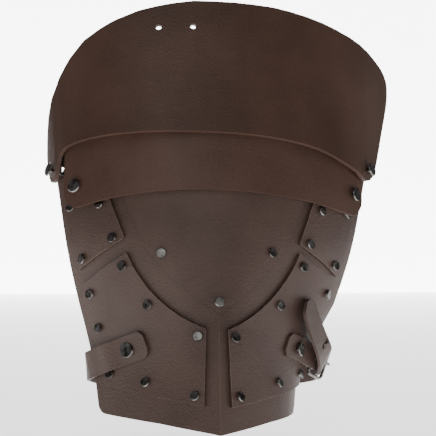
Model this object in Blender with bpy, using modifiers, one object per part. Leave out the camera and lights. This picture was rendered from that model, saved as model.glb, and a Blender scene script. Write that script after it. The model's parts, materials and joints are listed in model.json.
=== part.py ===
"""Leather pauldron: a shoulder cap and a lame that turn on a riveted upper-arm plate.

Metres, +Z up. X runs along the width, -Y is the outer face, and the arm goes in from below.
Each leather piece is a flat blank with punched holes that is bent by a formula.
The origin is where the cap sits on the shoulder.
"""
import math

import bmesh
import bpy
import numpy as np
from mathutils import Matrix, Vector

# Leather thicknesses and clearances
ARM_LEATHER = 0.0030
PLATE_LEATHER = 0.0028
LAME_LEATHER = 0.0028
CAP_LEATHER = 0.0030
STRAP_LEATHER = 0.0024
TAB_LEATHER = 0.0018
GAP = 0.0003

# Form of the arm plate's outer face: bend angles in degrees at two heights
KEEL_ANGLE = 30.0
KEEL_FULL = 0.036
KEEL_GONE = 0.150
LEAN = 8.0
LEAN_FROM = 0.130
FORM_LOW = 0.012
FORM_HIGH = 0.200
ARC_LOW = 0.0864
ARC_HIGH = 0.1240
WRAP_LEFT_LOW = 47.0
WRAP_LEFT_HIGH = 53.0
WRAP_RIGHT_LOW = 53.0
WRAP_RIGHT_HIGH = 42.0
CURL = 24.0
CURL_FROM = 0.055
CURL_TO = 0.105
CURL_FULL = 0.033
CURL_GONE = 0.093

# Arm plate outline: half widths and heights above the keel point
ARM_HALF_TOP = 0.137
ARM_HALF_LOW = 0.108
ARM_SIDE_TOP = 0.200
ARM_LEFT_TOP = 0.206
ARM_CENTRE_TOP = 0.186
ARM_SIDE_LOW = 0.011
ARM_MIDDLE_LOW = 0.0062
ARM_MIDDLE_SHARE = 0.46
ARM_CORNER = 0.008
ARM_CORNER_RIGHT = 0.018

# Shield plate: rows of half width and height, as shares of the two sizes
SHIELD_TIP = 0.086
SHIELD_TALL = 0.097
SHIELD_HALF = 0.074
SHIELD_ROWS = (
    # height, half_width
    (1.00, 1.00),
    (0.64, 0.785),
    (0.47, 0.68),
    (0.40, 0.60),
    (0.29, 0.465),
    (0.20, 0.345),
    (0.10, 0.18),
    (0.04, 0.06),
)

# Upper side plate: corners on the left, and how far the right one is mounted from its mirror image
UPPER_INNER_TOP = 0.088
UPPER_INNER_LOW = 0.0681
UPPER_INNER_LOW_AT = 0.1408
UPPER_OUTER_LOW = 0.1155
UPPER_OUTER_LOW_AT = 0.1150
UPPER_OUTER_TOP = 0.1235
UPPER_OUTER_TOP_AT = 0.1835
UPPER_TOP = 0.190
UPPER_CORNER = 0.0025
UPPER_RIGHT_IN = 0.005
UPPER_RIGHT_DOWN = 0.005

# Lower side plate
LOWER_KEEL_SIDE = 0.0095
LOWER_KEEL_SLANT = 0.0025
LOWER_KEEL_TOP = 0.0755
LOWER_BOTTOM_IN = 0.0200
LOWER_BOTTOM_OUT = 0.0320
LOWER_OUTER_LOW = 0.0990
LOWER_OUTER_TOP = 0.1125
LOWER_OUTER_TOP_AT = 0.1045
LOWER_PEAK = 0.0670
LOWER_PEAK_AT = 0.1300
LOWER_HOLLOW = 0.0085
LOWER_CORNER = 0.006
LOWER_RIGHT_IN = 0.003
LOWER_RIGHT_DOWN = 0.001

# Rivets
CAP_RADIUS = 0.0046
CAP_RISE = 0.0019
SHANK_RADIUS = 0.0014
BACK_RADIUS = 0.0036
BACK_THICK = 0.0009
HOLE_PLAY = 0.0006
RIVET_SIDES = 8
BIG_SIDES = 12
BIG_RADIUS = 0.0066
BIG_RISE = 0.0026
BIG_SHANK = 0.0020
BIG_BACK = 0.0050
PIVOT_PLAY = 0.0012
BIG_PLAY = 0.0008
BIG_BACK_GAP = 0.0008
HEAD_GAP = 0.0007
KEEL_PLAY = 0.0013
KEEL_DEEPER = 0.0018
PIVOT_BACK_GAP = 0.0012
PIVOT_LIFT = 0.0028

# Rivet places on the left half: distance from the keel line, height
SHIELD_RIVET_SIDE = 0.040
SHIELD_RIVET_HIGH = 0.130
SHIELD_RIVET_LOW = 0.0945
UPPER_RIVETS = (
    # from_keel, height
    (0.1140, 0.1633),
    (0.0874, 0.1652),
    (0.0771, 0.1412),
    (0.1057, 0.1261),
)
LOWER_RIVETS = (
    # from_keel, height
    (0.0703, 0.1213),
    (0.1020, 0.1006),
    (0.0988, 0.0751),
    (0.0524, 0.0932),
    (0.0145, 0.0703),
    (0.0920, 0.0408),
    (0.0590, 0.0360),
    (0.0182, 0.0276),
)

# Lame: places of its pivots on the arm form, tilt, band edges
LAME_LEFT = 0.1040
LAME_LEFT_AT = 0.1780
LAME_RIGHT = 0.1100
LAME_RIGHT_AT = 0.1725
LAME_TILT = 10.0
LAME_FRONT_GAP = 0.0030
LAME_LOW_CENTRE = -0.0072
LAME_LOW_SIDE = -0.0180
LAME_WIDE = 0.0495
LAME_PAST_LEFT = 0.0120
LAME_PAST_RIGHT = 0.0095
LAME_CORNER = 0.012
LAME_HIDDEN_CORNER = 0.004
LAME_END_FALL = 0.0135

# Cap
CAP_LEFT = 0.1278
CAP_LEFT_AT = 0.1905
CAP_RIGHT = 0.1235
CAP_RIGHT_AT = 0.1910
CAP_TILT = 22.5
CAP_FRONT_GAP = 0.0060
CAP_LEFT_END = 76.0
CAP_RIGHT_END = 62.0
CAP_TALL = 0.1065
CAP_LOW_CENTRE = 0.0020
CAP_LEFT_LIFT = 0.0046
CAP_RIGHT_LIFT = 0.0064
CAP_FLARE = 0.5
CAP_HOLE_RADIUS = 0.0021
CAP_HOLE_HIGH = 0.0850
CAP_HOLE_FIRST = -0.0250
CAP_HOLE_APART = 0.0240

# Strap, tab and buckle
STRAP_WIDE = 0.0200
STRAP_STUB = 0.0560
STRAP_STUB_AT = 0.0652
STRAP_FALL = 19.0
SNAP_IN = 0.0165
SNAP_RADIUS = 0.0072
TAB_WIDE = 0.0175
TAB_RIVET = 0.0741
TAB_RIVET_AT = 0.0600
TAB_FALL = 15.0
TAB_BEHIND = 0.0140
TAB_NOTCH_BACK = 0.0030
TAB_POINT = 0.0030
TAB_BLUNT = 0.55
TAB_CORNER = 0.0020
WIRE = 0.0012
FRAME_WIDE = 0.0250
FRAME_LONG = 0.0185
FRAME_CORNER = 0.0030
PRONG_WIRE = 0.0011
REAR_DEPTH = 0.0560
REAR_DIP = 0.0120

STUB_CORNER = 0.0060
TAB_HOLD = 0.0100
TAB_REACH = 0.0190
TAB_RISE = 13.0
TAB_EXTRA_LIFT = 0.0006
TAB_TUCK = 0.0020
STRAP_BULGE = -0.0010
REAR_SQUARE = 0.75
STRAP_PAST = 0.0050
STRAP_PAST_DOWN = 0.0010
STRAP_PAST_UNDER = 0.0040
TONGUE_POINT = 0.0060
TONGUE_ROUND = 0.0040
PRONG_SLOT = 0.0050
PRONG_SLOT_PAST = 0.0030
PUNCH_RADIUS = 0.0017
PUNCH_APART = 0.0240
LAME_HEAD_GAP = 0.0008
CAP_HEAD_GAP = 0.0021
CAP_PLAY = 0.0015
CAP_AXIS_SHARE = 0.36
SEAT_UP = 0.0850
STRAP_BOW_ROWS = (
    # distance from the stub end, extra lift over the half hidden rivet
    (0.000, 0.0000),
    (0.014, 0.0000),
    (0.024, 0.0002),
    (0.030, 0.0016),
    (0.037, 0.0033),
    (0.047, 0.0015),
    (0.060, 0.0004),
)
TONGUE_ROWS = (
    # along, up, out from the heel bar, degrees turned to face along
    (0.0122, 0.0000, -0.0006, 0),
    (0.0074, 0.0005, 0.0046, 0),
    (0.0012, 0.0024, 0.0082, 16),
    (-0.0082, 0.0072, 0.0098, 26),
    (-0.0195, 0.0140, 0.0098, 28),
    (-0.0330, 0.0230, 0.0092, 26),
    (-0.0455, 0.0335, 0.0082, 24),
)
CAP_LEFT_ROWS = (
    # share of the half length, share of the height
    (0.000, 0.020),
    (0.352, 0.039),
    (0.634, 0.065),
    (0.814, 0.078),
    (0.905, 0.040),
    (0.936, -0.050),
    (0.985, -0.094),
    (1.050, -0.070),
    (1.100, 0.037),
    (1.104, 0.180),
    (1.034, 0.417),
    (0.889, 0.569),
    (0.629, 0.801),
    (0.290, 0.940),
    (0.000, 0.994),
)
CAP_RIGHT_ROWS = (
    # share of the half length, share of the height
    (0.000, 0.020),
    (0.302, 0.008),
    (0.604, -0.018),
    (0.775, -0.053),
    (0.895, -0.068),
    (0.990, -0.094),
    (1.075, -0.014),
    (1.125, 0.126),
    (1.185, 0.379),
    (1.244, 0.635),
    (1.252, 0.790),
    (1.208, 0.868),
    (1.094, 0.902),
    (0.749, 0.925),
    (0.381, 0.978),
    (0.000, 0.994),
)

# Mesh fineness
CELL = 0.0150
BAND_CELL = 0.0135
STRAP_CELL = 0.0058
CORNER_STEPS = 4
EDGE_STEPS = 2
HOLE_SIDES = 6
SLOT_SIDES = 8
TAB_CELL = 0.0016
FORM_STEPS = 24
NORMAL_STEP = 0.0001
PATH_STEPS = 12


def clear_scene():
    for stale in list(bpy.data.objects):
        bpy.data.objects.remove(stale, do_unlink=True)


def make_material(name, colour, roughness, metallic):
    material = bpy.data.materials.new(name)
    material.use_nodes = True
    shader = material.node_tree.nodes["Principled BSDF"]
    shader.inputs["Base Color"].default_value = (*colour, 1.0)
    shader.inputs["Roughness"].default_value = roughness
    shader.inputs["Metallic"].default_value = metallic
    return material


def ease(share):
    """Smooth step from 0 to 1."""
    share = np.clip(share, 0.0, 1.0)
    return share * share * (3.0 - 2.0 * share)


# The form that the arm plate is bent to. "across" is measured along the leather from the keel line.

def bend_angle(across, height):
    """Angle of the outer face away from the front, in radians."""
    rise = (height - FORM_LOW) / (FORM_HIGH - FORM_LOW)
    keel = math.radians(KEEL_ANGLE) * ease((KEEL_GONE - height) / (KEEL_GONE - KEEL_FULL))
    arc = ARC_LOW + (ARC_HIGH - ARC_LOW) * rise
    left = WRAP_LEFT_LOW + (WRAP_LEFT_HIGH - WRAP_LEFT_LOW) * rise
    right = WRAP_RIGHT_LOW + (WRAP_RIGHT_HIGH - WRAP_RIGHT_LOW) * rise
    wrap = np.radians(np.where(across < 0, left, right))
    out = np.abs(across)
    curl = ease((out - CURL_FROM) / (CURL_TO - CURL_FROM))
    curl = curl * ease((CURL_GONE - height) / (CURL_GONE - CURL_FULL)) * math.radians(CURL)
    return keel + (wrap - keel) * out / arc + np.where(across > 0, curl, 0.0)


def arm_face(across, height):
    """Point on the arm plate's outer face: sine and cosine of the bend, summed from the keel."""
    share = (np.arange(FORM_STEPS) + 0.5) / FORM_STEPS
    turn = bend_angle(across[:, None] * share, height[:, None])
    x = across * np.cos(turn).mean(axis=1)
    y = np.abs(across) * np.sin(turn).mean(axis=1)
    return np.column_stack([x, y + math.tan(math.radians(LEAN)) * (height - LEAN_FROM), height])


def arm_smooth(across, height, lift):
    """Point at a lift above the arm plate's outer face, square to it."""
    aside = arm_face(across + NORMAL_STEP, height) - arm_face(across - NORMAL_STEP, height)
    above = arm_face(across, height + NORMAL_STEP) - arm_face(across, height - NORMAL_STEP)
    out = np.cross(aside, above)
    out = out / np.linalg.norm(out, axis=1)[:, None]
    mitre = np.where(np.abs(across) < NORMAL_STEP, np.cos(bend_angle(np.abs(across) * 0, height)), 1.0)
    return arm_face(across, height) + out * (lift / mitre)[:, None]


def form_step(across, height, lift):
    return arm_smooth(np.array([across]), np.array([height]), lift)[0]


def on_lattice(smooth, cell):
    """The same surface laid in flat triangles between lattice points, so stacked leather stays parallel."""
    def bent(across, height, lift=0.0):
        across, height, lift = np.broadcast_arrays(*np.atleast_1d(across, height, lift))
        column = np.floor(across / cell + 1e-6)
        row = np.floor(height / cell + 1e-6)
        u = (across / cell - column)[:, None]
        v = (height / cell - row)[:, None]
        low = smooth(column * cell, row * cell, lift)
        far = smooth((column + 1) * cell, (row + 1) * cell, lift)
        beside = smooth((column + 1) * cell, row * cell, lift)
        above = smooth(column * cell, (row + 1) * cell, lift)
        under = low + u * (beside - low) + v * (far - beside)
        over = low + v * (above - low) + u * (far - above)
        return np.where(u >= v, under, over)
    return bent


arm_form = on_lattice(arm_smooth, CELL)


def arm_normal(across, height):
    """Outward direction through the stacked leather."""
    through = (arm_form(across, height, PLATE_LEATHER) - arm_form(across, height, -ARM_LEATHER))[0]
    return through / np.linalg.norm(through)


# Flat blanks

def rounded(corners):
    """Outline with an arc at each corner that has a radius: rows of x, y, radius."""
    outline = []
    for i, (x, y, radius) in enumerate(corners):
        here = np.array([x, y])
        if radius == 0:
            outline.append(here)
            continue
        before = np.array(corners[i - 1][:2]) - here
        after = np.array(corners[(i + 1) % len(corners)][:2]) - here
        before = before / np.linalg.norm(before)
        after = after / np.linalg.norm(after)
        half = math.acos(float(np.clip(before @ after, -1, 1))) / 2
        middle = (before + after) / np.linalg.norm(before + after)
        centre = here + middle * radius / math.sin(half)
        first = here + before * radius / math.tan(half) - centre
        last = here + after * radius / math.tan(half) - centre
        for step in range(CORNER_STEPS + 1):
            arm = first + (last - first) * step / CORNER_STEPS
            outline.append(centre + arm / np.linalg.norm(arm) * radius)
    return outline


def through(places, steps):
    """Smooth curve through places, a number of steps for each stretch between two of them."""
    places = np.array(places)
    padded = np.vstack([2 * places[0] - places[1], places, 2 * places[-1] - places[-2]])
    share = np.linspace(0, 1, steps, endpoint=False)[:, None]
    curve = []
    for i in range(len(places) - 1):
        a, b, c, d = padded[i:i + 4]
        bow = (2 * a - 5 * b + 4 * c - d) * share ** 2 + (3 * b - a - 3 * c + d) * share ** 3
        curve.append(b + ((c - a) * share + bow) / 2)
    return np.vstack(curve + [places[-1:]])


def ring(x, y, radius, sides=HOLE_SIDES, stretch=0.0):
    """Round hole, or a slot that is longer along x by the stretch."""
    points = []
    for i in range(sides):
        turn = 2 * math.pi * (i + 0.5) / sides
        shift = math.copysign(stretch / 2, math.cos(turn))
        points.append(np.array([x + shift + radius * math.cos(turn), y + radius * math.sin(turn)]))
    return points


def flat_blank(outline, holes, cell, tall_cell=None, diagonals=True):
    """Flat sheet with holes, filled by a 2D curve and cut along the lattice."""
    curve = bpy.data.curves.new("blank", "CURVE")
    curve.dimensions = "2D"
    curve.fill_mode = "BOTH"
    for loop in [outline] + holes:
        spline = curve.splines.new("POLY")
        spline.points.add(len(loop) - 1)
        for point, place in zip(spline.points, loop):
            point.co = (place[0], place[1], 0.0, 1.0)
        spline.use_cyclic_u = True
    guide = bpy.data.objects.new("blank", curve)
    bpy.context.scene.collection.objects.link(guide)
    graph = bpy.context.evaluated_depsgraph_get()
    mesh = bpy.data.meshes.new_from_object(guide.evaluated_get(graph))
    bpy.data.objects.remove(guide, do_unlink=True)
    bpy.data.curves.remove(curve)
    sheet = bmesh.new()
    sheet.from_mesh(mesh)
    bpy.data.meshes.remove(mesh)
    bmesh.ops.remove_doubles(sheet, verts=sheet.verts, dist=1e-6)
    if sum(face.normal.z for face in sheet.faces) < 0:
        bmesh.ops.reverse_faces(sheet, faces=sheet.faces)
    tall_cell = tall_cell or cell
    xs = [vert.co.x for vert in sheet.verts]
    ys = [vert.co.y for vert in sheet.verts]
    first, last = math.ceil(min(xs) / cell), math.floor(max(xs) / cell)
    cuts = [((i * cell, 0, 0), (1, 0, 0)) for i in range(first, last + 1)]
    if tall_cell < max(ys) - min(ys):
        rows = range(math.ceil(min(ys) / tall_cell), math.floor(max(ys) / tall_cell) + 1)
        cuts += [((0, j * tall_cell, 0), (0, 1, 0)) for j in rows]
    if diagonals:
        lean = [x / cell - y / tall_cell for x, y in zip(xs, ys)]
        slant = (1 / cell, -1 / tall_cell, 0)
        cuts += [((k * cell, 0, 0), slant) for k in range(math.ceil(min(lean)), math.floor(max(lean)) + 1)]
    for point, normal in cuts:
        parts = sheet.verts[:] + sheet.edges[:] + sheet.faces[:]
        result = bmesh.ops.bisect_plane(sheet, geom=parts, dist=2e-5, plane_co=point, plane_no=normal)
        for part in result["geom_cut"]:
            if isinstance(part, bmesh.types.BMEdge):
                part.seam = True
    bmesh.ops.remove_doubles(sheet, verts=sheet.verts, dist=2e-5)
    bmesh.ops.dissolve_limit(sheet, angle_limit=0.01, verts=sheet.verts, edges=sheet.edges,
                             delimit={"SEAM"})
    return sheet


def leather(name, sheet, bend, low, high, material, parent):
    """Bends a flat sheet at two lifts and joins the two faces by walls along the edges."""
    sheet.verts.index_update()
    flat = np.array([vert.co[:2] for vert in sheet.verts])
    count = len(flat)
    places = np.vstack([bend(flat[:, 0], flat[:, 1], lift) for lift in (low, high)]) - ORIGIN
    faces = [[vert.index + count for vert in face.verts] for face in sheet.faces]
    faces += [[vert.index for vert in reversed(face.verts)] for face in sheet.faces]
    for edge in sheet.edges:
        if edge.is_boundary:
            start = edge.link_loops[0].vert.index
            end = edge.link_loops[0].link_loop_next.vert.index
            faces.append([start, end, end + count, start + count])
    sheet.free()
    mesh = bpy.data.meshes.new(name)
    mesh.from_pydata(places.tolist(), [], faces)
    return add_piece(name, mesh, material, parent)


def add_piece(name, mesh, material, parent):
    piece = bpy.data.objects.new(name, mesh)
    if not mesh.materials:
        mesh.materials.append(material)
    pauldron.objects.link(piece)
    piece.parent = parent
    piece.matrix_parent_inverse = parent.matrix_world.inverted()
    return piece


def add_empty(name, place, direction, parent=None):
    """Empty whose local X lies along a direction."""
    empty = bpy.data.objects.new(name, None)
    empty.empty_display_size = 0.02
    pauldron.objects.link(empty)
    turn = Vector(direction).to_track_quat("X", "Z").to_matrix().to_4x4()
    empty.matrix_world = Matrix.Translation(Vector(place)) @ turn
    empty.parent = parent
    if parent:
        empty.matrix_parent_inverse = parent.matrix_world.inverted()
    bpy.context.view_layer.update()
    return empty


# Bands: the lame and the cap are bent round the arm plate and turn on two rivets

def section_sums(end, power):
    """Mean cosine and sine of an angle that grows as a power of the way to its end."""
    share = ((np.arange(400) + 0.5) / 400) ** power
    turn = math.radians(end) * share
    return np.cos(turn).mean(), np.sin(turn).mean()


def make_band(left, right, tilt, reach, left_end, right_end, flare):
    """Bent band from one pivot to the other: returns its smooth surface and its two half lengths."""
    span = right - left
    width = np.linalg.norm(span)
    along = span / width
    middle = (left + right) / 2
    back = np.cross([0.0, 0.0, 1.0], along)
    back = back / np.linalg.norm(back)
    up = np.cross(along, back)
    turn = math.radians(tilt)
    deep = back * math.cos(turn) - up * math.sin(turn)
    tall = back * math.sin(turn) + up * math.cos(turn)
    low, high = 0.2, 6.0
    for _ in range(50):
        power = (low + high) / 2
        left_x, left_y = section_sums(left_end, power)
        right_x, right_y = section_sums(right_end, power)
        if left_x / left_y + right_x / right_y > width / reach:
            high = power
        else:
            low = power
    left_long = reach / left_y
    right_long = reach / right_y
    front = middle - along * (width / 2 - left_long * left_x)

    def angle(place):
        share = np.where(place < 0, -place / left_long, place / right_long)
        end = np.where(place < 0, math.radians(left_end), math.radians(right_end))
        return end * np.minimum(share, 1.0) ** power

    def smooth(place, height, lift):
        steps = (np.arange(FORM_STEPS) + 0.5) / FORM_STEPS
        inside = np.clip(place, -left_long, right_long)
        past = np.abs(place - inside)
        turns = angle(inside[:, None] * steps)
        face = angle(place)
        x = inside * np.cos(turns).mean(axis=1) + np.sign(place) * past * np.cos(face)
        y = np.abs(inside) * np.sin(turns).mean(axis=1) + past * np.sin(face) - reach
        grow = (1 + flare * height)
        x = x * grow + lift * np.sign(place) * np.sin(face)
        y = y * grow - lift * np.cos(face)
        return front + x[:, None] * along + y[:, None] * deep + height[:, None] * tall

    return smooth, left_long, right_long


def turned_rivet(name, radius, rise, shank, depth, back, rim=0.0):
    """Rivet turned about Z: its cap sits on z = 0 and its back washer lies below the depth."""
    if rim:
        outside = [(0, rise * 0.75), (radius * 0.30, rise * 0.70), (radius * 0.55, rise * 0.55)]
        outside += [(radius * 0.68, rise), (radius * 0.86, rise), (radius, 0)]
    else:
        outside = [(0, rise), (radius * 0.72, rise * 0.68), (radius, 0)]
    profile = outside + [(shank, 0), (shank, -depth), (back, -depth), (back * 0.9, -depth - BACK_THICK)]
    profile += [(0, -depth - BACK_THICK)]
    mesh = bpy.data.meshes.new(name)
    mesh.from_pydata([(x, 0, z) for x, z in profile], [(i, i + 1) for i in range(len(profile) - 1)], [])
    return mesh


def add_rivet(name, mesh, place, normal, parent, sides=BIG_SIDES):
    rivet = add_piece(name, mesh, metal, parent)
    turn = Vector(normal).to_track_quat("Z", "X").to_matrix().to_4x4()
    rivet.matrix_world = Matrix.Translation(Vector(place)) @ turn
    turning = rivet.modifiers.new("turned", "SCREW")
    turning.steps = sides
    turning.render_steps = sides
    turning.use_merge_vertices = True
    turning.merge_threshold = 1e-5
    return rivet


# Places that several pieces share

ON_PLATE = GAP + PLATE_LEATHER
LAME_LIFT = ON_PLATE + PIVOT_LIFT


def form_pivot(across, height):
    """Point on the arm plate's outer face, and its outward normal."""
    return form_step(across, height, 0.0), arm_normal(across, height)


def face_angle(normal):
    return math.degrees(math.atan2(abs(normal[0]), -normal[1]))


lame_left, lame_left_out = form_pivot(-LAME_LEFT, LAME_LEFT_AT)
lame_right, lame_right_out = form_pivot(LAME_RIGHT, LAME_RIGHT_AT)
cap_left, cap_left_out = form_pivot(-CAP_LEFT, CAP_LEFT_AT)
cap_right, cap_right_out = form_pivot(CAP_RIGHT, CAP_RIGHT_AT)
lame_seats = (lame_left + LAME_LIFT * lame_left_out, lame_right + LAME_LIFT * lame_right_out)
cap_seats = (cap_left + CAP_LEFT_LIFT * cap_left_out, cap_right + CAP_RIGHT_LIFT * cap_right_out)


def reach_to(seats, tilt, low, front):
    """How far a band stands ahead of its pivots so that its lower edge meets the depth in front of it."""
    turn = math.radians(tilt)
    middle = (seats[0] + seats[1]) / 2
    reach = 0.05
    for _ in range(20):
        height = middle[2] + reach * math.sin(turn) + low * math.cos(turn)
        reach = (middle[1] + low * math.sin(turn) - front(height)) / math.cos(turn)
    return reach


def shield_front(height):
    face = form_step(0.0, height, ON_PLATE)
    return face[1] - LAME_FRONT_GAP


lame_reach = reach_to(lame_seats, LAME_TILT, LAME_LOW_CENTRE, shield_front)
lame_smooth, lame_long_left, lame_long_right = make_band(
    *lame_seats, LAME_TILT, lame_reach, face_angle(lame_left_out), face_angle(lame_right_out), 0.0)


def lame_front(height):
    low = lame_smooth(np.array([0.0]), np.array([0.0]), LAME_LEATHER)[0]
    lean = math.tan(math.radians(LAME_TILT))
    return low[1] + (height - low[2]) * lean - CAP_FRONT_GAP


cap_reach = reach_to(cap_seats, CAP_TILT, CAP_LOW_CENTRE, lame_front)
cap_smooth, cap_long_left, cap_long_right = make_band(
    *cap_seats, CAP_TILT, cap_reach, CAP_LEFT_END, CAP_RIGHT_END, CAP_FLARE)
lame_form = on_lattice(lame_smooth, BAND_CELL)
cap_form = on_lattice(cap_smooth, BAND_CELL)
ORIGIN = cap_smooth(np.array([0.0]), np.array([SEAT_UP]), 0.0)[0]


def arm_plate_blank():
    outline = [(0, 0, 0)]
    for side, corner in ((1, ARM_CORNER_RIGHT), (-1, ARM_CORNER)):
        edge = [(side * ARM_HALF_LOW * ARM_MIDDLE_SHARE, ARM_MIDDLE_LOW, 0)]
        edge.append((side * ARM_HALF_LOW, ARM_SIDE_LOW, corner))
        edge.append((side * ARM_HALF_TOP, ARM_SIDE_TOP if side > 0 else ARM_LEFT_TOP, ARM_CORNER))
        outline += edge + [(0, ARM_CENTRE_TOP, 0)] if side > 0 else edge[::-1]
    holes = [ring(x, y, SHANK_RADIUS + HOLE_PLAY) for x, y in small_rivet_places()]
    holes.append(ring(*SHIELD_KEEL_RIVET, SHANK_RADIUS + KEEL_PLAY))
    holes += [ring(x, y, BIG_SHANK + PIVOT_PLAY) for x, y in (SNAP_AT, TAB_RIVET_PLACE)]
    holes += [ring(x, y, BIG_SHANK + PIVOT_PLAY) for x, y in LAME_PLACES]
    holes += [ring(x, y, BIG_SHANK + CAP_PLAY) for x, y in CAP_PLACES]
    return flat_blank(rounded(outline), holes, CELL)


def shield_blank():
    right = [(SHIELD_HALF * half, SHIELD_TIP + SHIELD_TALL * tall, 0) for tall, half in SHIELD_ROWS]
    left = [(-x, y, radius) for x, y, radius in reversed(right)]
    outline = [(0, SHIELD_TIP, 0)] + right[::-1] + left[::-1]
    holes = [ring(x, y, SHANK_RADIUS + HOLE_PLAY) for x, y in SHIELD_RIVETS]
    holes.append(ring(*SHIELD_KEEL_RIVET, SHANK_RADIUS + KEEL_PLAY))
    return flat_blank(rounded(outline), holes, CELL)


def mirrored(places, side, inward, down):
    """Left-half places put on their side: -1 as they are, 1 mirrored and moved in and down."""
    if side < 0:
        return [(-x, y) for x, y in places]
    return [(x - inward, y - down) for x, y in places]


def upper_blank(side):
    corners = [(UPPER_INNER_TOP, UPPER_TOP), (UPPER_INNER_LOW, UPPER_INNER_LOW_AT)]
    corners += [(UPPER_OUTER_LOW, UPPER_OUTER_LOW_AT), (UPPER_OUTER_TOP, UPPER_OUTER_TOP_AT)]
    placed = mirrored(corners, side, UPPER_RIGHT_IN, UPPER_RIGHT_DOWN)
    placed = [(x, y, UPPER_CORNER) for x, y in placed]
    holes = [ring(x, y, SHANK_RADIUS + HOLE_PLAY) for x, y in UPPER_PLACES[side]]
    holes += [ring(x, y, BIG_SHANK + PIVOT_PLAY) for x, y in LAME_PLACES if x * side > 0]
    return flat_blank(rounded(placed), holes, CELL)


def lower_blank(side):
    """Keel edge, hollow edge along the shield, slanted top, outer edge and bottom."""
    corners = [(LOWER_KEEL_SIDE + LOWER_KEEL_SLANT, LOWER_BOTTOM_IN), (LOWER_KEEL_SIDE, LOWER_KEEL_TOP)]
    start = np.array(corners[-1])
    end = np.array([LOWER_PEAK, LOWER_PEAK_AT])
    chord = end - start
    normal = np.array([chord[1], -chord[0]]) / np.linalg.norm(chord)
    for step in range(1, 8):
        share = step / 8
        sag = LOWER_HOLLOW * 4 * share * (1 - share)
        corners.append(tuple(start + chord * share + normal * sag))
    corners += [tuple(end), (LOWER_OUTER_TOP, LOWER_OUTER_TOP_AT), (LOWER_OUTER_LOW, LOWER_BOTTOM_OUT)]
    placed = mirrored(corners, side, LOWER_RIGHT_IN, LOWER_RIGHT_DOWN)
    sharp = len(placed) - 2
    placed = [(x, y, LOWER_CORNER if i >= sharp else 0) for i, (x, y) in enumerate(placed)]
    holes = [ring(x, y, SHANK_RADIUS + HOLE_PLAY) for x, y in LOWER_PLACES[side]]
    big = SNAP_AT if side < 0 else TAB_RIVET_PLACE
    holes.append(ring(*big, BIG_SHANK + PIVOT_PLAY))
    return flat_blank(rounded(placed), holes, CELL)


def lame_blank():
    left = -lame_long_left - LAME_PAST_LEFT
    right = lame_long_right + LAME_PAST_RIGHT
    places = np.linspace(left, right, 17)
    share = (places / np.where(places < 0, left, right)) ** 2
    low = LAME_LOW_CENTRE + (LAME_LOW_SIDE - LAME_LOW_CENTRE) * share
    bottom = [(x, y, 0) for x, y in zip(places, low)]
    high = low + LAME_WIDE - np.where(places > 0, LAME_END_FALL, 0.0) * share ** 2
    top = [(x, y, 0) for x, y in zip(places[::-1], high[::-1])]
    bottom[0] = (*bottom[0][:2], LAME_CORNER)
    bottom[-1] = (*bottom[-1][:2], LAME_CORNER)
    top[0] = (*top[0][:2], LAME_CORNER)
    top[-1] = (*top[-1][:2], LAME_HIDDEN_CORNER)
    bottom = bottom[:1] + bottom[3:-3] + bottom[-1:]
    top = top[:1] + top[3:-3] + top[-1:]
    holes = [ring(x, 0, BIG_SHANK + BIG_PLAY) for x in (-lame_long_left, lame_long_right)]
    return flat_blank(rounded(bottom + top), holes, BAND_CELL)


def cap_blank():
    """Lower edge from left to right, then the ends and the top edge back to the left."""
    long = {-1: cap_long_left, 1: cap_long_right}
    outline = []
    for side, rows in ((-1, CAP_LEFT_ROWS), (1, CAP_RIGHT_ROWS[::-1])):
        corners = [(side * long[side] * out, CAP_TALL * high) for out, high in rows]
        outline += list(through(corners, EDGE_STEPS))[:-1]
    holes = [ring(x, 0, BIG_SHANK + CAP_PLAY) for x in (-cap_long_left, cap_long_right)]
    for i in range(2):
        place = (CAP_HOLE_FIRST + CAP_HOLE_APART * i, CAP_HOLE_HIGH)
        holes.append(ring(*place, CAP_HOLE_RADIUS, 10))
    return flat_blank(outline, holes, BAND_CELL)


# Strap, tab and buckle

def make_ribbon(places, normals):
    """Smooth path with a facing: returns a surface of distance along, distance across and lift."""
    places = np.array(places)
    normals = np.array(normals)
    path = through(places, PATH_STEPS)
    share = np.arange(len(path)) / PATH_STEPS
    faces = np.column_stack([np.interp(share, np.arange(len(places)), normals[:, k]) for k in range(3)])
    gone = np.concatenate([[0], np.cumsum(np.linalg.norm(np.diff(path, axis=0), axis=1))])
    ahead = np.gradient(path, axis=0)
    ahead = ahead / np.linalg.norm(ahead, axis=1)[:, None]
    faces = faces - ahead * np.sum(faces * ahead, axis=1)[:, None]
    faces = faces / np.linalg.norm(faces, axis=1)[:, None]
    across = np.cross(faces, ahead)

    def pick(rows, along):
        return np.column_stack([np.interp(along, gone, rows[:, k]) for k in range(3)])

    def smooth(along, aside, lift):
        start = np.minimum(along, 0.0)
        end = np.maximum(along - gone[-1], 0.0)
        place = pick(path, along) + pick(ahead, along) * (start + end)[:, None]
        return place + pick(across, along) * aside[:, None] + pick(faces, along) * np.reshape(lift, (-1, 1))

    return smooth, gone[-1], gone[::PATH_STEPS]


def slanted(start, start_at, distance, fall):
    """Place on the flat form after a distance outwards that falls by an angle."""
    turn = math.radians(fall)
    return start + distance * math.cos(turn), start_at - distance * math.sin(turn)


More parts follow.
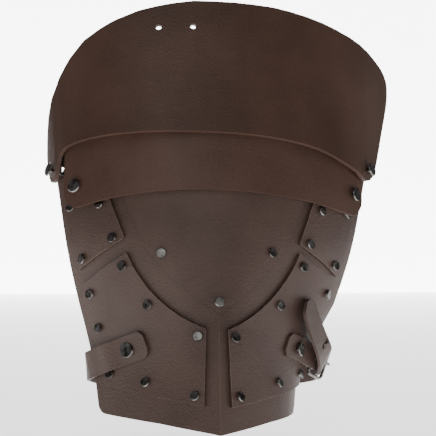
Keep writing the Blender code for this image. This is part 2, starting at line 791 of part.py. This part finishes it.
TAB_RIVET_PLACE = (TAB_RIVET, TAB_RIVET_AT)
SNAP_AT = slanted(STRAP_STUB, STRAP_STUB_AT, SNAP_IN, STRAP_FALL)
SNAP_AT = (-SNAP_AT[0], SNAP_AT[1])
LAME_PLACES = ((-LAME_LEFT, LAME_LEFT_AT), (LAME_RIGHT, LAME_RIGHT_AT))
CAP_PLACES = ((-CAP_LEFT, CAP_LEFT_AT), (CAP_RIGHT, CAP_RIGHT_AT))
SHIELD_RIVETS = [(-SHIELD_RIVET_SIDE, SHIELD_RIVET_HIGH), (SHIELD_RIVET_SIDE, SHIELD_RIVET_HIGH)]
SHIELD_KEEL_RIVET = (0.0, SHIELD_RIVET_LOW)
UPPER_PLACES = {side: mirrored(UPPER_RIVETS, side, UPPER_RIGHT_IN, UPPER_RIGHT_DOWN) for side in (-1, 1)}
LOWER_PLACES = {side: mirrored(LOWER_RIVETS, side, LOWER_RIGHT_IN, LOWER_RIGHT_DOWN) for side in (-1, 1)}


def small_rivet_places():
    return SHIELD_RIVETS + UPPER_PLACES[-1] + UPPER_PLACES[1] + LOWER_PLACES[-1] + LOWER_PLACES[1]


# The tab leaves the plate at its lift-off and carries the frame's heel bar
tab_lift = ON_PLATE + GAP + TAB_EXTRA_LIFT
off_across, off_height = slanted(TAB_RIVET, TAB_RIVET_AT, TAB_HOLD, TAB_FALL)
ahead_across, ahead_height = slanted(TAB_RIVET, TAB_RIVET_AT, TAB_HOLD + 0.001, TAB_FALL)
lift_off = form_step(off_across, off_height, tab_lift)
flat_out = arm_normal(off_across, off_height)
flat_along = form_step(ahead_across, ahead_height, tab_lift) - lift_off
flat_along = flat_along / np.linalg.norm(flat_along)
rise_turn = math.radians(TAB_RISE)
buckle_along = flat_along * math.cos(rise_turn) + flat_out * math.sin(rise_turn)
buckle_out = flat_out * math.cos(rise_turn) - flat_along * math.sin(rise_turn)
buckle_up = np.cross(buckle_out, buckle_along)
bar_reach = WIRE + 2 * GAP
HEEL = lift_off + buckle_along * TAB_REACH - buckle_out * bar_reach


def at_buckle(along, up, out):
    return HEEL + buckle_along * along + buckle_up * up + buckle_out * out


def tab_route():
    places = []
    normals = []
    for distance in (-TAB_BEHIND, 0.0, TAB_HOLD):
        across, height = slanted(TAB_RIVET, TAB_RIVET_AT, distance, TAB_FALL)
        places.append(form_step(across, height, tab_lift))
        normals.append(arm_normal(across, height))
    places.append((lift_off + at_buckle(0, 0, bar_reach)) / 2)
    normals.append(buckle_out)
    for turn in np.radians([0, 45, 90, 135, 180]):
        outward = buckle_out * math.cos(turn) + buckle_along * math.sin(turn)
        places.append(HEEL + outward * bar_reach)
        normals.append(outward)
    places.append(at_buckle(-TAB_TUCK, 0, -bar_reach))
    normals.append(-buckle_out)
    return places, normals


def strap_route():
    """Over the left side, round behind the arm, under the frame's far bar and over its heel bar."""
    places = []
    normals = []
    for distance, bow in STRAP_BOW_ROWS:
        across, height = slanted(STRAP_STUB, STRAP_STUB_AT, distance, STRAP_FALL)
        places.append(form_step(-across, height, ON_PLATE + 2 * GAP + bow))
        normals.append(arm_normal(-across, height))
    left_end = places[-1]
    under = -bar_reach - STRAP_LEATHER - 3 * GAP
    far = at_buckle(FRAME_LONG, 0, under)
    past = at_buckle(FRAME_LONG + STRAP_PAST, -STRAP_PAST_DOWN, under - STRAP_PAST_UNDER)
    middle = np.array([(left_end[0] + far[0]) / 2, (left_end[1] + far[1]) / 2])
    half = (far[0] - left_end[0]) / 2 + STRAP_BULGE
    for turn in np.radians([164, 146, 126, 108, 90, 72, 54, 36, 18]):
        share = (math.pi - turn) / math.pi
        height = left_end[2] * (1 - share) + past[2] * share - REAR_DIP * math.sin(turn)
        aside = math.copysign(abs(math.cos(turn)) ** REAR_SQUARE, math.cos(turn))
        behind = math.sin(turn) ** REAR_SQUARE
        places.append(np.array([middle[0] + half * aside, middle[1] + REAR_DEPTH * behind, height]))
        out = np.array([aside / half, behind / REAR_DEPTH, 0])
        normals.append(out / np.linalg.norm(out))
    places += [past, far]
    normals += [buckle_out] * 2
    for along, up, out, turn in TONGUE_ROWS:
        places.append(at_buckle(along, up, out))
        facing = math.radians(turn)
        normals.append(math.cos(facing) * buckle_out + math.sin(facing) * buckle_along)
    return places, normals


tab_smooth, tab_long, tab_marks = make_ribbon(*tab_route())
strap_smooth, strap_long, strap_marks = make_ribbon(*strap_route())
tab_form = on_lattice(tab_smooth, TAB_CELL)
strap_form = on_lattice(strap_smooth, STRAP_CELL)


def tab_blank():
    """Pointed front end, and a notch for the prong where the tab goes round the bar."""
    half = TAB_WIDE / 2
    notch = PRONG_WIRE + 2 * GAP
    notch_from = tab_marks[4] - TAB_NOTCH_BACK
    blunt = half * TAB_BLUNT
    outline = [(0, -blunt, 0), (TAB_POINT, -half, TAB_CORNER), (tab_long, -half, 0), (tab_long, -notch, 0)]
    outline += [(notch_from, -notch, 0), (notch_from, notch, 0), (tab_long, notch, 0), (tab_long, half, 0)]
    outline += [(TAB_POINT, half, TAB_CORNER), (0, blunt, 0)]
    holes = [ring(TAB_BEHIND, 0, BIG_SHANK + BIG_PLAY)]
    return flat_blank(rounded(outline), holes, TAB_CELL, TAB_WIDE, False)


def strap_blank():
    """Rounded stub end, pointed tongue, snap hole, prong slot and two spare holes."""
    half = STRAP_WIDE / 2
    outline = [(0, -half, STUB_CORNER), (strap_long - TONGUE_POINT, -half, TONGUE_POINT)]
    outline += [(strap_long, 0, TONGUE_ROUND), (strap_long - TONGUE_POINT, half, TONGUE_POINT)]
    outline += [(0, half, STUB_CORNER)]
    prong_at = strap_marks[-len(TONGUE_ROWS)] + PRONG_SLOT_PAST
    holes = [ring(SNAP_IN, 0, BIG_SHANK + BIG_PLAY)]
    holes.append(ring(prong_at, 0, PRONG_WIRE + 2 * GAP, SLOT_SIDES, PRONG_SLOT))
    holes += [ring(prong_at + PUNCH_APART * i, 0, PUNCH_RADIUS) for i in (-1, 1)]
    return flat_blank(rounded(outline), holes, STRAP_CELL, STRAP_WIDE * 2, False)


def wire(name, path, radius, cyclic, parent):
    """Round wire along a path: a curve with a bevel and filled caps."""
    curve = bpy.data.curves.new(name, "CURVE")
    curve.dimensions = "3D"
    curve.bevel_depth = radius
    curve.bevel_resolution = 2
    curve.use_fill_caps = not cyclic
    spline = curve.splines.new("POLY")
    spline.points.add(len(path) - 1)
    for point, place in zip(spline.points, path):
        point.co = (*(place - ORIGIN), 1.0)
    spline.use_cyclic_u = cyclic
    piece = add_piece(name, curve, metal, parent)
    if not cyclic:
        weld = piece.modifiers.new("caps", "WELD")
        weld.merge_threshold = 1e-5
    return piece


def frame_path():
    half = FRAME_WIDE / 2
    corners = [(0, -half, FRAME_CORNER), (FRAME_LONG, -half, FRAME_CORNER),
               (FRAME_LONG, half, FRAME_CORNER), (0, half, FRAME_CORNER)]
    return [at_buckle(along, up, 0) for along, up in rounded(corners)]


def prong_path():
    """Most of a turn round the heel bar, then straight to the far bar."""
    loop = WIRE + GAP + PRONG_WIRE
    path = []
    for turn in np.radians(np.arange(-60, -331, -30)):
        path.append(at_buckle(loop * math.sin(turn), 0, loop * math.cos(turn)))
    path.append(at_buckle(FRAME_LONG + 0.0010, 0, loop))
    return path


# Assembly

clear_scene()
pauldron = bpy.data.collections.new("leather_pauldron")
bpy.context.scene.collection.children.link(pauldron)
brown = make_material("brown_leather", (0.055, 0.030, 0.021), 0.55, 0.0)
plate_brown = make_material("plate_leather", (0.070, 0.040, 0.030), 0.60, 0.0)
metal = make_material("antique_metal", (0.30, 0.28, 0.26), 0.35, 1.0)

root = add_empty("pauldron_root", (0, 0, 0), (1, 0, 0))
lame_pivot = add_empty("lame_pivot", (lame_left + lame_right) / 2 - ORIGIN, lame_right - lame_left, root)
cap_pivot = add_empty("cap_pivot", (cap_left + cap_right) / 2 - ORIGIN, cap_right - cap_left, root)

leather("arm_plate", arm_plate_blank(), arm_form, -ARM_LEATHER, 0.0, plate_brown, root)
leather("shield_plate", shield_blank(), arm_form, GAP, ON_PLATE, plate_brown, root)
for side, word in ((-1, "left"), (1, "right")):
    leather(f"upper_plate_{word}", upper_blank(side), arm_form, GAP, ON_PLATE, plate_brown, root)
    leather(f"lower_plate_{word}", lower_blank(side), arm_form, GAP, ON_PLATE, plate_brown, root)
leather("lame", lame_blank(), lame_form, 0.0, LAME_LEATHER, brown, lame_pivot)
leather("shoulder_cap", cap_blank(), cap_form, 0.0, CAP_LEATHER, brown, cap_pivot)
leather("arm_strap", strap_blank(), strap_form, 0.0, STRAP_LEATHER, plate_brown, root)
leather("buckle_tab", tab_blank(), tab_form, 0.0, TAB_LEATHER, plate_brown, root)
wire("buckle_frame", frame_path(), WIRE, True, root)
wire("buckle_prong", prong_path(), PRONG_WIRE, False, root)

small_depth = HEAD_GAP + ON_PLATE + ARM_LEATHER + 2 * GAP
small_rivet = turned_rivet("small_rivet", CAP_RADIUS, CAP_RISE, SHANK_RADIUS, small_depth, BACK_RADIUS)
small_groups = {"shield_rivet": SHIELD_RIVETS}
for side, word in ((-1, "left"), (1, "right")):
    small_groups[f"upper_{word}_rivet"] = UPPER_PLACES[side]
    small_groups[f"lower_{word}_rivet"] = LOWER_PLACES[side]
for group, places in small_groups.items():
    for number, (across, height) in enumerate(places, 1):
        place = arm_form(across, height, ON_PLATE + HEAD_GAP)[0] - ORIGIN
        add_rivet(f"{group}_{number}", small_rivet, place, arm_normal(across, height), root, RIVET_SIDES)

keel_rivet = turned_rivet("keel_rivet", CAP_RADIUS, CAP_RISE, SHANK_RADIUS, small_depth + KEEL_DEEPER,
                          BACK_RADIUS)
keel_place = arm_form(*SHIELD_KEEL_RIVET, ON_PLATE + GAP)[0] - ORIGIN
add_rivet("shield_rivet_3", keel_rivet, keel_place, arm_normal(*SHIELD_KEEL_RIVET), root, RIVET_SIDES)


def add_pivot_rivet(name, form, place, thickness, head_gap, out, parent):
    """Rivet through the middle of a band's hole, set between square to the band and square to the arm."""
    inner = form(place, 0.0, 0.0)[0]
    outer = form(place, 0.0, thickness)[0]
    square = (outer - inner) / np.linalg.norm(outer - inner)
    axis = CAP_AXIS_SHARE * square + (1 - CAP_AXIS_SHARE) * out
    axis = axis / np.linalg.norm(axis)
    pivot = cap_left if place < 0 else cap_right
    if form is lame_form:
        pivot = lame_left if place < 0 else lame_right
    head = thickness / 2 + head_gap
    depth = head + ((inner + outer) / 2 - pivot) @ axis + ARM_LEATHER + PIVOT_BACK_GAP
    mesh = turned_rivet(name, BIG_RADIUS, BIG_RISE, BIG_SHANK, depth, BIG_BACK)
    add_rivet(name, mesh, (inner + outer) / 2 + axis * head - ORIGIN, axis, parent)


add_pivot_rivet("lame_pivot_rivet_left", lame_form, -lame_long_left, LAME_LEATHER, LAME_HEAD_GAP,
                lame_left_out, lame_pivot)
add_pivot_rivet("lame_pivot_rivet_right", lame_form, lame_long_right, LAME_LEATHER, LAME_HEAD_GAP,
                lame_right_out, lame_pivot)
add_pivot_rivet("cap_pivot_rivet_left", cap_form, -cap_long_left, CAP_LEATHER, CAP_HEAD_GAP,
                cap_left_out, cap_pivot)
add_pivot_rivet("cap_pivot_rivet_right", cap_form, cap_long_right, CAP_LEATHER, CAP_HEAD_GAP,
                cap_right_out, cap_pivot)

snap_depth = 2 * GAP + STRAP_LEATHER + 2 * GAP + PLATE_LEATHER + GAP + ARM_LEATHER + BIG_BACK_GAP
snap = turned_rivet("strap_snap", SNAP_RADIUS, BIG_RISE, BIG_SHANK, snap_depth, BIG_BACK, rim=1.0)
snap_out = arm_normal(*SNAP_AT)
snap_place = form_step(*SNAP_AT, ON_PLATE + STRAP_LEATHER + 4 * GAP) - ORIGIN
add_rivet("strap_snap", snap, snap_place, snap_out, root)
tab_depth = HEAD_GAP + TAB_LEATHER + tab_lift + ARM_LEATHER + BIG_BACK_GAP
tab_rivet = turned_rivet("tab_rivet", BIG_RADIUS, BIG_RISE, BIG_SHANK, tab_depth, BIG_BACK)
tab_out = arm_normal(*TAB_RIVET_PLACE)
tab_place = form_step(*TAB_RIVET_PLACE, tab_lift + TAB_LEATHER + HEAD_GAP) - ORIGIN
add_rivet("tab_rivet", tab_rivet, tab_place, tab_out, root)
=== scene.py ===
import json
import math

import bmesh
import bpy
import numpy as np
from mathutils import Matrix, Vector

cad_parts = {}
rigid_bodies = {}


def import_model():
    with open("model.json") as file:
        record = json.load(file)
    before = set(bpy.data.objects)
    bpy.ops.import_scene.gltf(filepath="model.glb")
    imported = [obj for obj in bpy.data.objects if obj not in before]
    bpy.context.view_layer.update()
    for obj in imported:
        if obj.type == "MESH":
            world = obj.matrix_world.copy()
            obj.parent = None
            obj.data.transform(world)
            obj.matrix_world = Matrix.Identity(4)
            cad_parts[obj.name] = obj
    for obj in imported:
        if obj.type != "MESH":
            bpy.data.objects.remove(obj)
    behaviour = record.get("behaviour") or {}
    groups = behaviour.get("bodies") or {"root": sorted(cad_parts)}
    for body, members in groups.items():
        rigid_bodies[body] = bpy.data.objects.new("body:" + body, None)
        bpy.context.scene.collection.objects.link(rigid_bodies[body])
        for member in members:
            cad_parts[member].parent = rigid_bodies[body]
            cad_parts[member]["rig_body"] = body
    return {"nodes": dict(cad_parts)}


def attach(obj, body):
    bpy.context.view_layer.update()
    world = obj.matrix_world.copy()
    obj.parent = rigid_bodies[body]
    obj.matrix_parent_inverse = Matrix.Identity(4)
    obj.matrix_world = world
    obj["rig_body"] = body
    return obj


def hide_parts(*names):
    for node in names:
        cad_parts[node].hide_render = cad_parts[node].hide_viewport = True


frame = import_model()
nodes = frame["nodes"]


def writeSize():
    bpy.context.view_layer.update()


writeSize()
print("stage: frame loaded,", len(nodes), "nodes")


# A shader socket that can be added, subtracted and multiplied
class Wire:
    def __init__(self, tree, socket):
        self.tree = tree
        self.socket = socket

    def maths(self, operation, other, swapped=False):
        node = self.tree.nodes.new("ShaderNodeMath")
        node.operation = operation
        for slot, value in zip(node.inputs, (other, self) if swapped else (self, other)):
            if isinstance(value, Wire):
                self.tree.links.new(value.socket, slot)
            else:
                slot.default_value = value
        return Wire(self.tree, node.outputs[0])

    def __add__(self, other):
        return self.maths("ADD", other)

    def __radd__(self, other):
        return self.maths("ADD", other, True)

    def __sub__(self, other):
        return self.maths("SUBTRACT", other)

    def __rsub__(self, other):
        return self.maths("SUBTRACT", other, True)

    def __mul__(self, other):
        return self.maths("MULTIPLY", other)

    def __rmul__(self, other):
        return self.maths("MULTIPLY", other, True)


# One procedural material on Object coordinates
class Look:
    def __init__(self, name):
        self.material = bpy.data.materials.new(name)
        self.material.use_nodes = True
        self.tree = self.material.node_tree
        self.shader = self.tree.nodes["Principled BSDF"]
        self.place = self.node("TexCoord", "Object")

    def node(self, kind, output, links=None, **values):
        made = self.tree.nodes.new("ShaderNode" + kind)
        for key, value in values.items():
            if key in made.inputs:
                made.inputs[key].default_value = value
            else:
                setattr(made, key, value)
        for key, wire in (links or {}).items():
            self.tree.links.new(wire.socket, made.inputs[key])
        return Wire(self.tree, made.outputs[output])

    def noise(self, scale, detail=3.0):
        return self.node("TexNoise", "Fac", {"Vector": self.place}, Scale=scale, Detail=detail)

    def ramp(self, wire, low, high):
        made = self.node("ValToRGB", "Color", {"Fac": wire})
        ramp = made.socket.node.color_ramp
        ramp.elements[0].position, ramp.elements[1].position = low[0], high[0]
        ramp.elements[0].color, ramp.elements[1].color = (*low[1], 1), (*high[1], 1)
        return made

    def feed(self, **wires):
        for key, wire in wires.items():
            self.tree.links.new(wire.socket, self.shader.inputs[key.replace("_", " ")])


# Dark dyed leather: mottled colour, fine pebbled grain and small pores
def leatherLook(name, values):
    look = Look(name)
    mottle = look.noise(values["mottleScale"], 4.0)
    grain = look.node("TexVoronoi", "Distance", {"Vector": look.place}, Scale=values["grainScale"])
    fine = look.noise(values["grainScale"] * 1.7, 5.0)
    tone = mottle * 0.7 + fine * 0.3  # mostly broad patches
    height = grain * 0.6 + fine * 0.5 + mottle * 0.2
    look.feed(Base_Color=look.ramp(tone, (0.30, values["dark"]), (0.72, values["light"])),
              Roughness=values["rough"] + 0.18 * (fine - 0.5),
              Normal=look.node("Bump", "Normal", {"Height": height}, Strength=values["bump"],
                               Distance=values["grainDeep"]))
    look.shader.inputs["Specular IOR Level"].default_value = values["shine"]
    return look.material


# Darkened metal: dark in blotches, brighter where it is rubbed
def metalLook(name, values):
    look = Look(name)
    tarnish = look.noise(values["tarnishScale"], 5.0)
    look.feed(Base_Color=look.ramp(tarnish, (0.35, values["dark"]), (0.70, values["light"])),
              Roughness=values["rough"] + 0.25 * (tarnish - 0.5),
              Normal=look.node("Bump", "Normal", {"Height": tarnish}, Strength=values["bump"],
                               Distance=values["pitDeep"]))
    look.shader.inputs["Metallic"].default_value = 1.0
    return look.material


leatherValues = {
    "brown": {"dark": (0.046, 0.023, 0.016), "light": (0.100, 0.056, 0.042), "rough": 0.42, "shine": 0.28,
              "mottleScale": 14.0, "grainScale": 620.0, "bump": 0.60, "grainDeep": 0.0004},
    # plate: the brown leather made greyer, as painted light from the bright floor on the lower plates
    "plate": {"dark": (0.050, 0.029, 0.023), "light": (0.090, 0.056, 0.045), "rough": 0.46, "shine": 0.28,
              "mottleScale": 17.0, "grainScale": 620.0, "bump": 0.60, "grainDeep": 0.0004},
    # edge: the paler core of cut leather, made paler still as a painted highlight of the light from below
    "edge": {"dark": (0.200, 0.150, 0.125), "light": (0.420, 0.340, 0.290), "rough": 0.62, "shine": 0.30,
             "mottleScale": 60.0, "grainScale": 900.0, "bump": 0.50, "grainDeep": 0.0004},
}
metalValues = {"dark": (0.050, 0.047, 0.045), "light": (0.330, 0.315, 0.300), "rough": 0.30,
               "tarnishScale": 210.0, "bump": 0.15, "pitDeep": 0.0003}
brownLook = leatherLook("brownLeather", leatherValues["brown"])
platePaintedLightLook = leatherLook("plateLeatherPaintedLight", leatherValues["plate"])
edgeCoreAndPaintedHighlightLook = leatherLook("cutEdgeCoreAndPaintedHighlight", leatherValues["edge"])
metalLookMade = metalLook("antiqueMetal", metalValues)
print("stage: materials")

# A leather piece keeps the solid's own surface: corners that meet are joined, facets that lie flat are
# merged, the normals run on across the bend, and the cut edge is rounded and shows the paler core under a
# painted highlight.
leatherPieces = {"edgeRound": 0.00090, "edgeSteps": 2, "sharpAngle": 38.0, "flatAngle": 0.4}
weldStep = 1e-6


# Corners rounded to the same step of the grid become one corner
def weldedMesh(node, name):
    mesh = nodes[node].data
    corners = np.zeros(len(mesh.vertices) * 3, np.float32)
    mesh.vertices.foreach_get("co", corners)
    corners = corners.reshape(-1, 3).astype(float)
    faces = np.array([face.vertices[:] for face in mesh.polygons])
    grid = np.round(corners / weldStep)
    first, group = np.unique(grid, axis=0, return_index=True, return_inverse=True)[1:]
    made = bpy.data.meshes.new(name)
    made.from_pydata(corners[first].tolist(), [], group.reshape(-1)[faces].tolist())
    return made


def addLook(node, mesh, materials):
    piece = bpy.data.objects.new(node + "_look", mesh)
    bpy.context.scene.collection.objects.link(piece)
    for material in materials:
        mesh.materials.append(material)
    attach(piece, nodes[node]["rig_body"])
    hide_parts(node)
    return piece


def smoothLeather(node, look):
    mesh = weldedMesh(node, node + "_look")
    shape = bmesh.new()
    shape.from_mesh(mesh)
    bmesh.ops.dissolve_limit(shape, angle_limit=math.radians(leatherPieces["flatAngle"]),
                             verts=shape.verts, edges=shape.edges)
    shape.to_mesh(mesh)
    shape.free()
    mesh.shade_smooth()
    mesh.set_sharp_from_angle(angle=math.radians(leatherPieces["sharpAngle"]))
    piece = addLook(node, mesh, [look, edgeCoreAndPaintedHighlightLook])
    rounding = piece.modifiers.new("cut edge", "BEVEL")
    rounding.width = leatherPieces["edgeRound"]
    rounding.segments = leatherPieces["edgeSteps"]
    rounding.limit_method = "ANGLE"
    rounding.angle_limit = math.radians(leatherPieces["sharpAngle"])
    rounding.material = 1  # the cut edge: paler core with a painted highlight
    rounding.harden_normals = True


for node in ("lame", "shoulder_cap"):
    smoothLeather(node, brownLook)
# the lower plates, strap and tab take the greyer leather with painted floor light
for node in ("arm_plate", "shield_plate", "upper_plate_left", "upper_plate_right",
             "lower_plate_left", "lower_plate_right", "arm_strap", "buckle_tab"):
    smoothLeather(node, platePaintedLightLook)
print("stage: leather")

# A rivet is a profile turned round the axis of its solid: a low dome with a soft rim, the post and the
# washer. Heads are given as radius and rise.
rivetValues = {"sides": 40, "small": (0.0046, 0.0019), "large": (0.0066, 0.0026),
               "snap": (0.0072, 0.0026), "post": 0.0014, "washer": 0.78, "washerTall": 0.0009,
               "sharpAngle": 50}
domeRows = (
    # share of the radius, share of the rise
    (0.00, 1.00), (0.20, 0.95), (0.40, 0.86), (0.58, 0.76), (0.72, 0.67), (0.86, 0.40),
    (0.95, 0.20), (1.00, 0.04), (1.00, -0.25))
snapRows = (
    # share of the radius, share of the rise
    (0.00, 0.72), (0.14, 0.66), (0.22, 0.40), (0.30, 0.36), (0.52, 0.40), (0.62, 0.62),
    (0.70, 0.92), (0.80, 1.00), (0.90, 0.86), (0.97, 0.50), (1.00, 0.12), (1.00, 0.00))


# Top of the head, way in and length. The two ends of the axis are the corners that most edges share,
# and the widest ring lies at the head.
def rivetAxis(node):
    mesh = weldedMesh(node, "scratch")
    edges = np.zeros(len(mesh.edges) * 2, int)
    mesh.edges.foreach_get("vertices", edges)
    counts = np.bincount(edges, minlength=len(mesh.vertices))
    ends = [np.array(mesh.vertices[i].co) for i in np.argsort(counts)[-2:]]
    corners = np.array([vertex.co for vertex in mesh.vertices])
    along = (ends[1] - ends[0]) / np.linalg.norm(ends[1] - ends[0])
    tall = np.linalg.norm(ends[1] - ends[0])
    reach = (corners - ends[0]) @ along
    out = np.linalg.norm(corners - ends[0] - reach[:, None] * along, axis=1)
    bpy.data.meshes.remove(mesh)
    if reach[np.argmax(out)] > tall / 2:
        return ends[1], -along, tall
    return ends[0], along, tall


# Each profile point, at its radius and depth, times the unit circle round the axis
def turnedRivet(node, rows, size):
    apex, inward, tall = rivetAxis(node)
    radius, rise = size
    top = rows[0][1] * rise
    profile = [(share * radius, top - high * rise) for share, high in rows]
    washer, inner = radius * rivetValues["washer"], tall - rivetValues["washerTall"]
    profile += [(rivetValues["post"], top), (rivetValues["post"], inner)]
    profile += [(washer, inner), (washer * 0.9, tall), (0.0, tall)]
    profile = np.array(profile)
    aside = np.cross(inward, (0.0, 0.0, 1.0))
    aside = aside / np.linalg.norm(aside)
    other = np.cross(inward, aside)
    turn = np.linspace(0, 2 * math.pi, rivetValues["sides"], endpoint=False)
    spokes = np.cos(turn)[:, None] * aside + np.sin(turn)[:, None] * other
    ring = profile[:, 0][:, None, None] * spokes[None]
    points = apex + ring + profile[:, 1][:, None, None] * inward
    rows, sides = points.shape[:2]
    row, side = np.meshgrid(np.arange(rows - 1), np.arange(sides), indexing="ij")
    here = row * sides + side
    after = row * sides + (side + 1) % sides
    faces = np.stack([here, here + sides, after + sides, after], axis=-1).reshape(-1, 4)
    mesh = bpy.data.meshes.new(node + "_look")
    mesh.from_pydata(points.reshape(-1, 3).tolist(), [], faces.tolist())
    shape = bmesh.new()
    shape.from_mesh(mesh)
    bmesh.ops.remove_doubles(shape, verts=shape.verts, dist=1e-6)
    bmesh.ops.recalc_face_normals(shape, faces=shape.faces)
    shape.to_mesh(mesh)
    shape.free()
    mesh.shade_smooth()
    mesh.set_sharp_from_angle(angle=math.radians(rivetValues["sharpAngle"]))
    addLook(node, mesh, [metalLookMade])


for node in sorted(nodes):
    if node == "strap_snap":
        turnedRivet(node, snapRows, rivetValues["snap"])
    elif "pivot_rivet" in node or node == "tab_rivet":
        turnedRivet(node, domeRows, rivetValues["large"])
    elif "rivet" in node:
        turnedRivet(node, domeRows, rivetValues["small"])
buckleValues = {"sharpAngle": 60}
for node in ("buckle_frame", "buckle_prong"):
    mesh = weldedMesh(node, node + "_look")
    mesh.shade_smooth()
    mesh.set_sharp_from_angle(angle=math.radians(buckleValues["sharpAngle"]))
    addLook(node, mesh, [metalLookMade])
print("stage: metal")

# Stage and camera: white ground, soft light from the front, as in the photo. The camera is level, turned
# by azimuth from the keel, and looks at a place above the keel's point.
stageValues = {"keelPoint": (0.01358, -0.02902, -0.29402), "aim": 0.155, "away": 1.55,
               "azimuth": -7.5, "lens": 177.8, "floor": -0.30, "front": 8.0, "low": 0.2,
               "world": 0.12, "backdrop": 6.5, "floorGlow": 1.7, "left": -0.9, "right": 1.5,
               "near": -2.5, "far": 3.0, "wallTop": 2.0, "lightsAimAt": (0, 0, -0.12)}
keel = Vector(stageValues["keelPoint"])


def softLight(name, place, size, power):
    light = bpy.data.lights.new(name, "AREA")
    light.size = size
    light.energy = power
    lamp = bpy.data.objects.new(name, light)
    bpy.context.scene.collection.objects.link(lamp)
    lamp.location = place
    aim = Vector(stageValues["lightsAimAt"]) - Vector(place)
    lamp.rotation_euler = aim.to_track_quat("-Z", "Y").to_euler()


floorMesh = bpy.data.meshes.new("floor")
left, right, near, far = (stageValues[side] for side in ("left", "right", "near", "far"))
low, high = stageValues["floor"], stageValues["wallTop"]
ground = [(left, near, low), (right, near, low), (right, far, low), (left, far, low)]
wall = [(left, far, high), (right, far, high)]
floorMesh.from_pydata(ground + wall, [], [(0, 1, 2, 3), (3, 2, 5, 4)])
floor = bpy.data.objects.new("floor", floorMesh)
bpy.context.scene.collection.objects.link(floor)
pale = bpy.data.materials.new("paleFloor")
pale.use_nodes = True
paleShader = pale.node_tree.nodes["Principled BSDF"]
paleShader.inputs["Base Color"].default_value = (0.9, 0.9, 0.9, 1)
paleShader.inputs["Roughness"].default_value = 0.9
paleShader.inputs["Emission Color"].default_value = (1, 1, 1, 1)
paleShader.inputs["Emission Strength"].default_value = stageValues["floorGlow"]
floorMesh.materials.append(pale)
glow = pale.copy()
glowShader = glow.node_tree.nodes["Principled BSDF"]
glowShader.inputs["Emission Strength"].default_value = stageValues["backdrop"]
floorMesh.materials.append(glow)
floorMesh.polygons[1].material_index = 1  # the wall
softLight("frontLight", (-0.5, -1.7, 0.9), 1.4, stageValues["front"])
softLight("sideLight", (1.6, -0.6, 0.3), 1.0, stageValues["low"])
softLight("leftLight", (-1.7, 0.2, 0.0), 1.0, stageValues["low"])
world = bpy.data.worlds.new("studio")
world.use_nodes = True
world.node_tree.nodes["Background"].inputs["Color"].default_value = (1, 1, 1, 1)
world.node_tree.nodes["Background"].inputs["Strength"].default_value = stageValues["world"]
bpy.context.scene.world = world

camera = bpy.data.objects.new("camera", bpy.data.cameras.new("camera"))
bpy.context.scene.collection.objects.link(camera)
turn = math.radians(stageValues["azimuth"])
target = keel + Vector((0, 0, stageValues["aim"]))
camera.location = target + stageValues["away"] * Vector((math.sin(turn), -math.cos(turn), 0))
camera.rotation_euler = (target - camera.location).to_track_quat("-Z", "Y").to_euler()
camera.data.lens = stageValues["lens"]
camera.data.sensor_width = 36
camera.data.clip_end = 50
bpy.context.scene.camera = camera
print("stage: camera and light")

writeSize()
